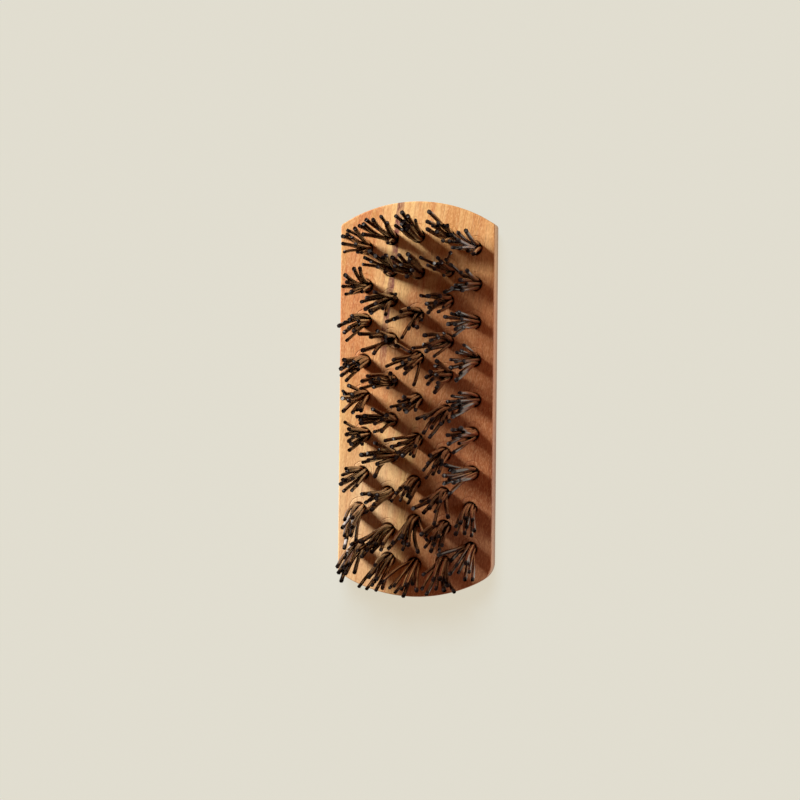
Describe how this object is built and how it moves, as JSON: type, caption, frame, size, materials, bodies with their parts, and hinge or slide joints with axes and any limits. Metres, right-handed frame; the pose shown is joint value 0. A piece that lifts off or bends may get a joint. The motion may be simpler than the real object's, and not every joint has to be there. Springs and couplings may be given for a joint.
{
  "type": "cleaning brush",
  "caption": "Flat wooden cleaning brush: a straight-sided block with bowed ends, drilled and set with staggered tufts of stiff filaments with thickened tips.",
  "frame": {"origin": "centre of the block's flat back, on the surface that the brush lies on", "axes": "+Z out of the block along the filaments, +Y along the block towards its far end, +X across the block to the right as the tufts are looked at"},
  "size_m": [0.0484, 0.123, 0.0347],
  "materials": {
    "wood": "oiled fruitwood, fine straight grain",
    "filament": "dark brown stiff filament, glossy"
  },
  "bodies": {
    "root": {"wood_block": "wood", "tuft_a1": "filament", "tuft_a2": "filament", "tuft_a3": "filament", "tuft_a4": "filament", "tuft_a5": "filament", "tuft_a6": "filament", "tuft_a7": "filament", "tuft_a8": "filament", "tuft_a9": "filament", "tuft_b1": "filament", "tuft_b2": "filament", "tuft_b3": "filament", "tuft_b4": "filament", "tuft_b5": "filament", "tuft_b6": "filament", "tuft_b7": "filament", "tuft_b8": "filament", "tuft_b9": "filament", "tuft_b10": "filament", "tuft_c1": "filament", "tuft_c2": "filament", "tuft_c3": "filament", "tuft_c4": "filament", "tuft_c5": "filament", "tuft_c6": "filament", "tuft_c7": "filament", "tuft_c8": "filament", "tuft_c9": "filament", "tuft_d1": "filament", "tuft_d2": "filament", "tuft_d3": "filament", "tuft_d4": "filament", "tuft_d5": "filament", "tuft_d6": "filament", "tuft_d7": "filament", "tuft_d8": "filament", "tuft_d9": "filament", "tuft_d10": "filament", "tuft_e1": "filament", "tuft_e2": "filament", "tuft_e3": "filament", "tuft_e4": "filament", "tuft_e5": "filament", "tuft_e6": "filament", "tuft_e7": "filament", "tuft_e8": "filament", "tuft_e9": "filament"}
  },
  "joints": []
}
